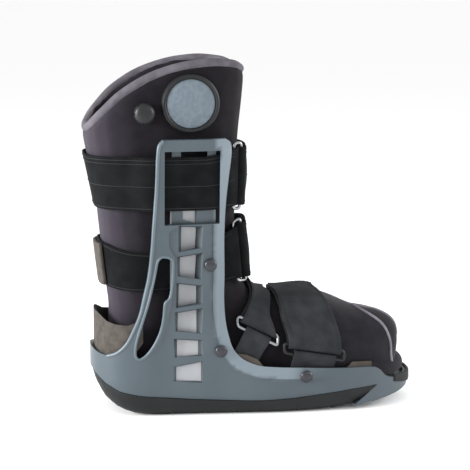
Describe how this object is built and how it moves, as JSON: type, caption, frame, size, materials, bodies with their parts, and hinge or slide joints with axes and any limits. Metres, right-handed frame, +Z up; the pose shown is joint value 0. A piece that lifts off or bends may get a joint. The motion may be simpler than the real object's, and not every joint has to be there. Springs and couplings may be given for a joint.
{
  "type": "walking boot",
  "caption": "Short medical walking boot for the right foot: rigid shell with two uprights on a rocker sole, padded liner with an air pump, and ring straps.",
  "frame": {"origin": "middle of the boot's bounding box, at the underside of the sole", "axes": "+X from the heel to the toe, +Y to the inner (medial) side of a right foot, +Z up; the outer side, with the rings and the pump, faces -Y"},
  "size_m": [0.3066, 0.1292, 0.3229],
  "materials": {
    "shell": "satin moulded blue-grey plastic",
    "rubber": "matt black rubber",
    "liner": "brushed charcoal fabric over foam",
    "band": "grey-beige grained soft sheet",
    "dark_plastic": "dark grey moulded plastic",
    "bulb": "grey-blue speckled rubber",
    "stay": "light grey plastic",
    "lining": "grey-brown felt",
    "strap": "black loop fabric",
    "webbing": "dark grey woven webbing",
    "steel": "bright steel wire",
    "rivet": "grey metal"
  },
  "bodies": {
    "boot": {"shell": "shell", "outsole": "rubber", "toe_bumper": "rubber", "liner": "liner", "toe_flap": "liner", "heel_band": "band", "pump_collar": "dark_plastic", "pump_bulb": "bulb", "valve_seat": "dark_plastic", "side_stay_outer": "stay", "side_stay_inner": "stay", "wall_lining_outer": "lining", "wall_lining_inner": "lining", "calf_strap": "strap", "calf_ring": "steel", "ankle_strap": "strap", "ankle_ring": "steel", "ankle_strap_end": "band", "instep_strap": "webbing", "instep_ring": "steel", "instep_tab": "webbing", "forefoot_strap": "webbing", "forefoot_ring": "dark_plastic", "forefoot_tab": "webbing", "rivet_ankle_outer": "rivet", "rivet_instep_outer": "rivet", "rivet_forefoot_outer": "rivet", "rivet_ankle_inner": "rivet", "rivet_instep_inner": "rivet", "rivet_forefoot_inner": "rivet"},
    "valve": {"valve_knob": "dark_plastic"}
  },
  "joints": [
    {"name": "valve_turn", "type": "hinge", "parent": "boot", "child": "valve", "pos_m": [-0.10176, -0.05233, 0.27617], "axis": [-0.0514, -0.9985, -0.0188], "range_deg": [0, 90]}
  ]
}
